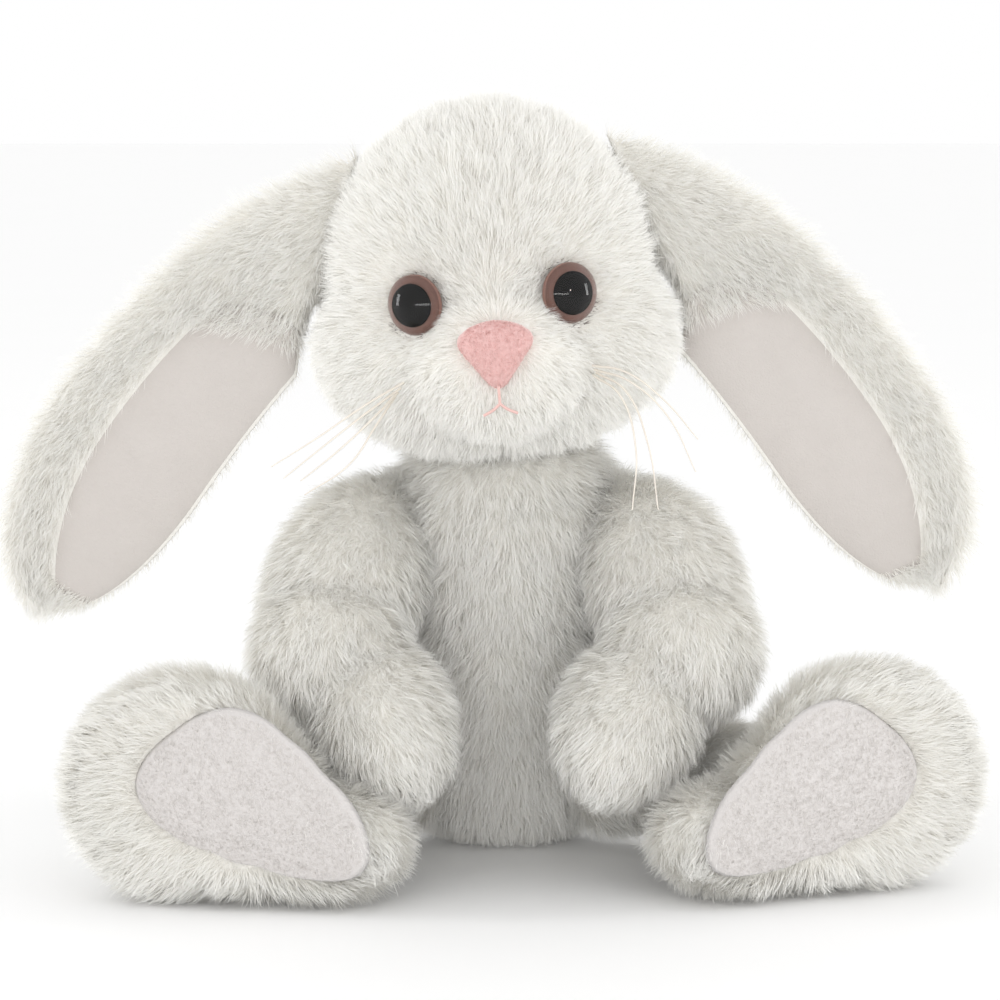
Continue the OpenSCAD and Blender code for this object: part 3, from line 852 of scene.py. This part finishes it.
# ---- Arms -------------------------------------------------------------------
# Each arm is a plush tube with a round mitten paw, filled softly, sewn to the
# shoulder so that it swings forwards. At rest the paws lie in front of the body.
for side, out in (("left", 1), ("right", -1)):
    mirror = Matrix.Diagonal((out, 1, 1, 1))
    arm_lumps = [
        lump((29.8, -15, 51), (15.2, 15.2, 22.4), (35, -24, 37), mirror),
        lump((23, -34, 30.5), (13.6, 13.6, 18.8), (15.5, -48, 18.5), mirror),
        lump((32.3, -26, 41), (15.2, 14.4, 15), None, mirror),
        lump((22.5, -4, 59.5), (13, 12, 12), None, mirror),
    ]
    arm = stuffed(f"arm_{side}_cover", arm_lumps, backing)
    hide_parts(f"arm_cover_{side}", f"arm_stuffing_{side}")
    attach(arm, f"arm_{side}")
    arm_middle = ((20, 0, 66), (31, -18, 48), (31, -30, 34), (17, -47, 20))
    way = [np.array((out * x, y, z)) for x, y, z in arm_middle]

    def arm_comb(root, up, at):
        """Along the nearest stretch of the arm's middle line, and down."""
        flow = np.zeros_like(root)
        best = np.full(len(root), 1e9)
        for low, high in zip(way, way[1:]):
            share = np.clip((root - low) @ (high - low) / ((high - low) @ (high - low)), 0, 1)[:, None]
            apart = np.linalg.norm(root - low - share * (high - low), axis=1)
            near = apart < best
            best[near] = apart[near]
            flow[near] = unit(high - low)
        return flow + np.array((0, 0, -0.55))

    grow_pile(
        f"arm_{side}_pile", arm, f"arm_{side}", 41 + out, 8.5, 6.0, arm_comb,
        lambda root, up, at: ~within(TORSO_LUMPS, root, 0.96),
    )

# ---- Legs -------------------------------------------------------------------
# Each leg is a plush tube with a big flat foot set on its end, and the sole is
# an inset of short-nap cloth sewn in all round. The legs turn at the hips.
sole_finish = Finish("sole_cloth", Roughness=0.85, Sheen_Weight=0.35, Sheen_Roughness=0.5)
sole_cloud = sole_finish.noise(5)
sole_nap = sole_finish.noise(0.6)
sole_shade = sole_cloud * 0.5 + sole_nap * 0.5
sole_finish.set("Base Color", sole_finish.mix(sole_shade, (0.61, 0.58, 0.565), (0.70, 0.67, 0.655)))
sole_finish.set("Normal", sole_finish.bump(sole_nap, 0.35))
# Sole nap colours from root to tip; the darker root colour is painted shade deep in the nap.
sole_pile = [
    pile_colour("sole_shaded_root", (0.73, 0.70, 0.675)), pile_colour("sole_nap", (0.76, 0.735, 0.715)),
    pile_colour("sole_light", (0.775, 0.755, 0.74)), pile_colour("sole_tip", (0.79, 0.775, 0.76)),
]
TOE = np.array((57.0, -46.0, 20.5))
SOLE_YAW, SOLE_DEEP = math.radians(12), 9.0
sole_out = np.array((math.sin(SOLE_YAW), -math.cos(SOLE_YAW), 0))
sole_across = np.array((math.cos(SOLE_YAW), math.sin(SOLE_YAW), 0))
FOOT_SHAPES = [
    ((57, -46, 20.5), (22, 14.5, 21.5), None),
    ((46, -47.5, 15.5), (17, 13, 15.5), None),
    ((33, -49, 11), (17, 12.5, 11), None),
]
# The sole's pattern, as distance along the floor from the hip's side and height, in mm
SOLE_PATTERN = (
    (25, 8.5), (25, 14), (27.5, 19.5), (33, 25), (39, 31), (44.5, 35), (49, 35.8), (54, 34.3), (58.5, 31),
    (63, 27), (65.5, 22), (63.5, 17), (59, 13.5), (52, 11), (43.5, 8.8), (35, 7), (28, 6.8),
)
sole_x = 45.0
sole_mid = TOE + SOLE_DEEP * sole_out + (sole_x - TOE[0]) / math.cos(SOLE_YAW) * sole_across
sole_mid = sole_mid - sole_out * ((sole_mid - TOE) @ sole_out - SOLE_DEEP)
sole_mid[2] = 20.5
pattern = np.array([((x - sole_mid[0]) / math.cos(SOLE_YAW), z - sole_mid[2]) for x, z in SOLE_PATTERN])
pattern_bearing = np.arctan2(pattern[:, 1], pattern[:, 0])
order = np.argsort(pattern_bearing)
bearings = np.radians(np.arange(0, 360, 5))
pattern_reach = np.hypot(pattern[:, 0], pattern[:, 1])
reach = np.interp(bearings, pattern_bearing[order], pattern_reach[order], period=2 * np.pi)
for _ in range(2):
    reach = (np.roll(reach, 1) + 2 * reach + np.roll(reach, -1)) / 4


def sole_share(local):
    """How far out a point lies on the sole, where 1 is its seam, and its depth behind the sole."""
    x = (local - sole_mid) @ sole_across
    z = local[:, 2] - sole_mid[2]
    bearing = np.arctan2(z, x) % (2 * np.pi)
    edge = np.interp(bearing, np.append(bearings, 2 * np.pi), np.append(reach, reach[0]))
    return np.hypot(x, z) / edge, (local - sole_mid) @ sole_out


for side, out in (("left", 1), ("right", -1)):
    turn = math.radians(12 if side == "left" else 0)
    hip = Vector((19, -5, 14.5))
    place = Matrix.Translation(hip) @ Matrix.Rotation(turn, 4, "Z") @ Matrix.Translation(-hip)
    place = Matrix.Diagonal((out, 1, 1, 1)) @ place

    def flat_sole(points):
        """The foot's front is pressed to the sole's plane, and drawn in at the sole's seam."""
        local = spread(place.inverted(), points)
        share, depth = sole_share(local)
        limit = -1.3 + 1.1 * np.clip(1 - share ** 2, 0, 1)
        over = depth > limit
        local[over] += ((limit - depth)[:, None] * sole_out)[over]
        pulled = np.exp(-(((share - 1) / 0.09) ** 2)) * (depth > -3)
        local -= 1.1 * pulled[:, None] * sole_out
        return sit_flat(spread(place, local))

    leg_lumps = [lump(*shape, place) for shape in FOOT_SHAPES] + [
        lump((33, -20, 14.5), (12.6, 12.6, 24.5), (47, -35, 16), place),
        lump((21, -8, 13.5), (11.5, 11.5, 11.5), None, place),
    ]
    leg = stuffed(f"leg_{side}_cover", leg_lumps, backing, flat_sole)
    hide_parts(f"leg_cover_{side}", f"leg_stuffing_{side}")
    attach(leg, f"leg_{side}")

    sole_points, sole_faces = [], []
    rings = np.array((1.04, 1.0, 0.96, 0.88, 0.76, 0.6, 0.42, 0.22))
    for ring_share in rings:
        rise = -2.2 if ring_share > 1 else -0.9 + 1.5 * (1 - ring_share ** 2.4)
        for bearing, edge in zip(bearings, reach):
            spot = sole_mid + edge * ring_share * (
                math.cos(bearing) * sole_across + math.sin(bearing) * np.array((0, 0, 1.0)))
            sole_points.append(spot + rise * sole_out)
    around = len(bearings)
    for i in range(len(rings) - 1):
        for j in range(around):
            k = (j + 1) % around
            quad = [i * around + j, i * around + k, (i + 1) * around + k, (i + 1) * around + j]
            sole_faces.append(quad[::-1] if out > 0 else quad)
    cap = [(len(rings) - 1) * around + j for j in range(around)]
    base = [j for j in reversed(range(around))]
    sole_faces += [cap[::-1], base[::-1]] if out > 0 else [cap, base]
    sole = mesh_piece(f"sole_{side}_inset", spread(place, np.array(sole_points)), sole_faces, sole_finish)
    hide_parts(f"sole_pad_{side}")
    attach(sole, f"leg_{side}")

    def leg_comb(root, up, at):
        """Out along the leg, and from the instep round the foot towards the sole's seam."""
        local = spread(place.inverted(), root)
        flow = np.tile(unit(np.array((0.62, -0.72, -0.12))), (len(root), 1))
        away = local - sole_mid
        away = away - (away @ sole_out)[:, None] * sole_out
        foot = np.clip((-local[:, 1] - 30) / 10, 0, 1)[:, None]
        flow = (1 - foot) * flow + foot * (0.75 * unit(away) + 0.65 * sole_out)
        return flow @ np.array(place)[:3, :3].T

    def leg_shows(root, up, at):
        local = spread(place.inverted(), root)
        share, depth = sole_share(local)
        on_sole = (share < 1.0) & (depth > -3.5)
        return ~on_sole & (root[:, 2] > 0.6) & ~within(TORSO_LUMPS, root, 0.96)

    grow_pile(f"leg_{side}_pile", leg, f"leg_{side}", 51 + out, 8.5, 6.0, leg_comb, leg_shows)
    grow_pile(
        f"sole_{side}_nap", sole, f"leg_{side}", 61 + out, 9, 1.5,
        lambda root, up, at: np.tile((0.25 * out, -0.1, -1.0), (len(root), 1)),
        lambda root, up, at: sole_share(spread(place.inverted(), root))[0] < 0.985,
        lay=50, width=0.11, clump=1.2, gather=0.35, colours=sole_pile,
    )
